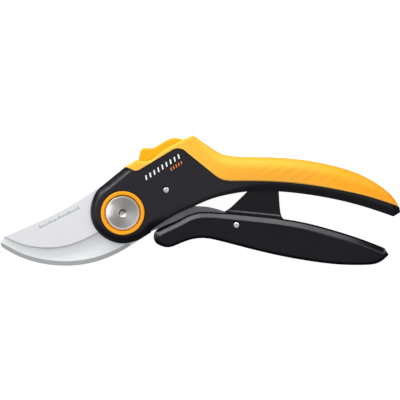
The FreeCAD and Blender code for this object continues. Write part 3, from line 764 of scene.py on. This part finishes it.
# --- stop web ----------------------------------------------------------------------------------------
WEB_FRONT, WEB_BACK, WEB_FOOT = (57.4, 0.9), (90.8, -3.7), -8.0
WEB_SIDES = join(
    spline(WEB_FRONT, (59.6, 2.2), (62.4, 4.6), (70.1, 12.1), (76.6, 18.6)),
    straight((76.6, 18.6), (80.0, 22.0)),
    straight((80.0, 22.0), (87.2, 22.4)),
    straight((87.2, 22.4), (88.3, 4.9)),
    spline((88.3, 4.9), (88.75, 1.0), (89.4, -1.7), WEB_BACK))
WEB_LOOP = closed(
    WEB_SIDES,
    straight(WEB_BACK, (WEB_BACK[0], WEB_FOOT)),
    straight((WEB_BACK[0], WEB_FOOT), (WEB_FRONT[0], WEB_FOOT)),
    straight((WEB_FRONT[0], WEB_FOOT), WEB_FRONT))


def web_height(xy):
    over = distance(xy, LOWER_TOP) * ~inside(xy, LOWER_LOOP)
    # its foot is thickened by a sloping ledge, which ends just above the handle
    ledge = 0.66 * (np.clip(2.5 - over, 0, 1.6) - 0.35 * np.clip(0.5 - np.abs(over - 2.5), 0, 0.5))
    return 3.0 + np.maximum(ledge, 0) - rounded(distance(xy, WEB_SIDES), 0.6, 0.6)


pillow("stop_web_skin", WEB_LOOP, web_height, BLACK_LOW, "lower_lever", step=0.6,
       rings=(0.06, 0.2, 0.4, 0.6), replaced=("stop_web",), slot="black_nylon", smooth_deg=50)


# --- printed and etched marks ------------------------------------------------------------------------
def bars(name, start, end, count, height, width, lean, z, thick, material, body, slot, tall=None):
    """A row of plain bars, leaning by lean, from start to end; tall(k) scales the height of each."""
    start, end = np.array(start, float), np.array(end, float)
    along = (end - start) / np.linalg.norm(end - start)
    up = np.array([-along[1], along[0]])
    verts, faces = [], []
    for k in range(count):
        foot = start + (end - start) * k / (count - 1)
        h = height * (tall(k) if tall else 1.0)
        top = foot + along * lean * h + up * h
        corners = [foot, foot + along * width, top + along * width, top]
        n = len(verts)
        verts += [(*c, zz) for zz in (z - thick, z) for c in corners]
        faces += [(n, n + 1, n + 2, n + 3), (n + 7, n + 6, n + 5, n + 4)]
        faces += [(n + i, n + (i + 1) % 4, n + 4 + (i + 1) % 4, n + 4 + i) for i in range(4)]
    mesh_piece(name, verts, faces, material, body, slot=slot)


bars("print_bars", (13.2, 18.4), (31.4, 30.2), count=9, height=2.5, width=0.85, lean=0.35,
     z=FRONT + 0.03, thick=0.1, material=WHITE_INK, body="upper_handle", slot="black_nylon")
bars("print_bars_small", (27.2, 23.6), (32.9, 27.3), count=5, height=1.7, width=0.6, lean=0.35,
     z=FRONT + 0.03, thick=0.1, material=ORANGE_INK, body="upper_handle", slot="black_nylon")
bars("etched_scale", (-46.6, -8.6), (-25.0, 2.1), count=21, height=0.95, width=0.42, lean=0.0,
     z=MID + STEEL + 0.01, thick=0.05, material=ETCH, body="lower_lever", slot="blade_steel",
     tall=lambda k: 1.8 if k % 5 == 0 else 1.0)


# --- pivot -------------------------------------------------------------------------------------------
ring_top = FRONT + 0.9
lathe("pivot_ring_face",
      [(9.75, RING_FLOOR), (12.3, RING_FLOOR), (12.3, ring_top - 0.8), (12.25, ring_top - 0.3),
       (12.1, ring_top - 0.06), (11.85, ring_top), (10.65, ring_top), (10.4, ring_top - 0.06),
       (10.25, ring_top - 0.3), (10.2, ring_top - 1.5), (9.75, ring_top - 1.6)],
      RING_ORANGE, "upper_handle", replaced=("pivot_ring",), slot="orange_hard")
cap_top = FRONT + 0.5
lathe("pivot_cap_face",
      [(0, FRONT - 1.9), (9.6, FRONT - 1.9), (9.6, cap_top - 0.5), (9.5, cap_top - 0.2),
       (9.2, cap_top - 0.02), (8.8, cap_top + 0.02), (5.0, cap_top + 0.35), (2.7, cap_top + 0.58),
       (2.35, cap_top + 0.6),
       (2.1, cap_top + 0.45), (1.6, cap_top - 0.1), (0.9, cap_top - 0.45), (0, cap_top - 0.5)],
      CAP, "upper_handle", replaced=("pivot_cap",), slot="turned_steel", smooth_deg=50)


# --- rivets ------------------------------------------------------------------------------------------
# radius, and drop from the top
RIVET_DOME = ((1.7, 0.62), (1.66, 0.45), (1.5, 0.28), (1.2, 0.12), (0.7, 0.02))
for name, centre, reach, body in (("hook_rivet", HOOK_RIVET, 8.8, "upper_handle"),
                                  ("tang_rivet", TANG_RIVET, 10.6, "lower_lever")):
    dome = [(r, reach - drop) for r, drop in RIVET_DOME]
    low_half = [(0, MID - reach)] + [(r, MID - z) for r, z in reversed(dome)]
    high_half = [(r, MID + z) for r, z in dome] + [(0, MID + reach)]
    lathe(f"{name}_head", low_half + high_half, RIVET, body, centre, 48, replaced=(name,), slot="rivet_steel")


# --- CAD nodes that are shown as they are ------------------------------------------------------------
CARRIED = {
    "cutting_blade": BLADE, "hook_blade": HOOK, "pivot_bolt": FASTENER, "pivot_nut": FASTENER,
    "spring_washer": SPRING, "blade_washer": FASTENER, "pivot_bushing": FASTENER, "opening_spring": SPRING,
    "detent_spring": SPRING, "detent_ball": RIVET,
    "lock_pawl": FASTENER, "lock_pin": FASTENER, "stop_pad": RUBBER}
for node, material in CARRIED.items():
    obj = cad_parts[node]
    obj.data.materials.clear()
    obj.data.materials.append(material)


# --- stage -------------------------------------------------------------------------------------------
bpy.ops.mesh.primitive_plane_add(size=6.0, location=(0.04, 0.0, -0.0002))
floor = bpy.context.object
floor.name = "floor"
paper = Shader("floor_paper", rough=0.9, spec=0.1)
paper.colour(paper.ramp(paper.noise(3.0, 2.0), (0.3, (0.25, 0.25, 0.25)), (0.7, (0.26, 0.26, 0.26))))
paper.base.inputs["Emission Color"].default_value = (1.0, 1.0, 1.0, 1.0)
paper.base.inputs["Emission Strength"].default_value = 0.96
# the floor glows for the eye alone, so that it doesn't light the object from below
shade_of_floor = paper.add("ShaderNodeBsdfDiffuse", {"Color": (0.12, 0.12, 0.12, 1.0)})
choice = paper.add("ShaderNodeMixShader", {0: paper.add("ShaderNodeLightPath").outputs["Is Camera Ray"]})
paper.links.new(shade_of_floor.outputs[0], choice.inputs[1])
paper.links.new(paper.base.outputs[0], choice.inputs[2])
paper.links.new(choice.outputs[0], paper.nodes["Material Output"].inputs["Surface"])
floor.data.materials.append(paper.material)

world = bpy.data.worlds.new("studio")
bpy.context.scene.world = world
world.use_nodes = True
sky, wires = world.node_tree.nodes, world.node_tree.links
sky_way = sky.new("ShaderNodeTexCoord")
sky_split = sky.new("ShaderNodeSeparateXYZ")
sky_ramp = sky.new("ShaderNodeValToRGB")
wires.new(sky_way.outputs["Generated"], sky_split.inputs[0])
wires.new(sky_split.outputs["Z"], sky_ramp.inputs[0])
SKY_LEVELS = ((0.0, 0.03), (0.38, 0.07), (0.52, 0.36), (0.62, 0.52), (1.0, 0.60))     # height, brightness
stops = sky_ramp.color_ramp.elements
for at, _ in SKY_LEVELS[1:-1]:
    stops.new(at)
for stop, (at, level) in zip(stops, SKY_LEVELS):
    stop.position = at
    stop.color = (level, level, level * 1.01, 1.0)
seen = sky.new("ShaderNodeLightPath")
pick = sky.new("ShaderNodeMix")
pick.data_type = "RGBA"
wires.new(seen.outputs["Is Camera Ray"], pick.inputs[0])
wires.new(sky_ramp.outputs["Color"], pick.inputs[6])
pick.inputs[7].default_value = (0.93, 0.93, 0.93, 1.0)
wires.new(pick.outputs[2], sky["Background"].inputs["Color"])


def softbox(name, place, aim, size, power):
    data = bpy.data.lights.new(name, "AREA")
    data.shape = "RECTANGLE"
    data.size, data.size_y = size
    data.energy = power
    light = bpy.data.objects.new(name, data)
    light.location = place
    light.rotation_euler = (Vector(aim) - Vector(place)).to_track_quat("-Z", "Y").to_euler()
    bpy.context.scene.collection.objects.link(light)


softbox("strip_left", (-0.447, 0.763, 0.402), (0.03, 0.0, 0.016), (0.74, 0.20), 6.2)
softbox("strip_mid", (0.135, 0.90, 0.40), (0.09, 0.0, 0.016), (0.46, 0.20), 3.2)
softbox("strip_right", (0.49, 0.84, 0.40), (0.12, 0.0, 0.016), (0.26, 0.20), 1.3)
softbox("side", (-0.90, 0.08, 0.40), (0.0, 0.0, 0.016), (0.6, 0.25), 1.3)
softbox("front", (0.05, -0.32, 1.0), (0.04, 0.0, 0.0), (1.0, 1.0), 0.7)
softbox("left", (-0.62, 0.50, 0.62), (0.0, 0.0, 0.0), (0.5, 0.5), 2.2)
softbox("right", (0.60, 0.45, 0.63), (0.05, 0.0, 0.0), (0.5, 0.5), 1.8)

# the camera looks straight down; VIEW_WIDTH is seen across the frame at the height FOCUS_PLANE
LENS, SENSOR = 180.0, 36.0
VIEW_WIDTH, FOCUS_PLANE = 0.2252, 0.016
camera_data = bpy.data.cameras.new("camera")
camera_data.lens = LENS
camera_data.clip_end = 20.0
camera = bpy.data.objects.new("camera", camera_data)
camera.location = (0.0434, 0.00735, FOCUS_PLANE + VIEW_WIDTH / SENSOR * LENS)
bpy.context.scene.collection.objects.link(camera)
bpy.context.scene.camera = camera
bpy.context.scene.view_settings.view_transform = "Standard"
